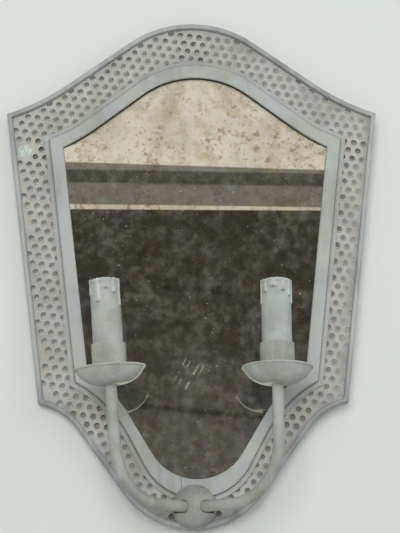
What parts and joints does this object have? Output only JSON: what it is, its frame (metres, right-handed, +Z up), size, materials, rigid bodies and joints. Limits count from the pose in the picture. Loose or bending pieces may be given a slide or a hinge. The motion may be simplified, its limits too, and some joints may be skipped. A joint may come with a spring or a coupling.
{
  "type": "girandole wall mirror",
  "caption": "Shield-shaped wall mirror in a perforated metal frame, with curved arms carrying electric candle lights on drip dishes.",
  "frame": {"origin": "middle of the keyhole's round hole, on the wall plane behind the mirror", "axes": "+Z up, +Y into the wall, +X to the right seen from the room; the mirror faces -Y"},
  "size_m": [0.3456, 0.1083, 0.4769],
  "materials": {
    "rim_paint": "chalky grey brushed paint on bent steel strip, worn edges",
    "sheet_paint": "thin chalky paint on perforated steel, grey-brown",
    "moulding_paint": "chalky grey paint with cooler streaks and dark wax in the corners",
    "mirror_glass": "antiqued silvering with brown spots and scratches",
    "fibreboard": "plain brown hardboard",
    "bare_steel": "dull zinc-plated steel",
    "strap_paint": "dark primer",
    "brass": "plain turned brass",
    "boss_paint": "chalky grey-green paint",
    "fibre": "dark red vulcanised fibre",
    "rubber": "black rubber",
    "splice_plastic": "pale nylon",
    "arm_paint": "chalky grey-green paint on steel tube",
    "lead_insulation": "dark flexible insulation",
    "dish_paint": "chalky grey-green paint, rubbed pale at the lip",
    "cup_paint": "chalky grey-green paint",
    "holder_plastic": "dark brown moulded resin",
    "sleeve_card": "painted candle sleeve, pale grey-green with chipped top edge"
  },
  "bodies": {
    "frame": {"outer_rim": "rim_paint", "perforated_panel": "sheet_paint", "mirror_moulding": "moulding_paint", "mirror_glass": "mirror_glass", "backing_board": "fibreboard", "retaining_tabs": "bare_steel", "upper_strap": "strap_paint", "lower_strap": "strap_paint", "keyhole_plate": "bare_steel", "boss_plate": "bare_steel", "arm_hub": "brass", "stem_washer": "bare_steel", "stem_nut": "bare_steel", "boss_cover": "boss_paint", "insulating_plate": "fibre", "cable_grommet": "rubber", "lead_splices": "splice_plastic", "arm_left": "arm_paint", "lead_left": "lead_insulation", "arm_nipple_left": "bare_steel", "drip_dish_left": "dish_paint", "candle_cup_left": "cup_paint", "cup_nut_left": "bare_steel", "lampholder_body_left": "holder_plastic", "lampholder_shell_left": "brass", "lampholder_contact_left": "brass", "arm_right": "arm_paint", "lead_right": "lead_insulation", "arm_nipple_right": "bare_steel", "drip_dish_right": "dish_paint", "candle_cup_right": "cup_paint", "cup_nut_right": "bare_steel", "lampholder_body_right": "holder_plastic", "lampholder_shell_right": "brass", "lampholder_contact_right": "brass"},
    "sleeve_left": {"candle_sleeve_left": "sleeve_card"},
    "sleeve_right": {"candle_sleeve_right": "sleeve_card"}
  },
  "joints": [
    {"name": "sleeve_left_slide", "type": "slide", "parent": "frame", "child": "sleeve_left", "axis": [-0.069, -0.0615, 0.9957], "range_m": [0, 0.06]},
    {"name": "sleeve_right_slide", "type": "slide", "parent": "frame", "child": "sleeve_right", "axis": [0, 0, 1], "range_m": [0, 0.06]}
  ]
}
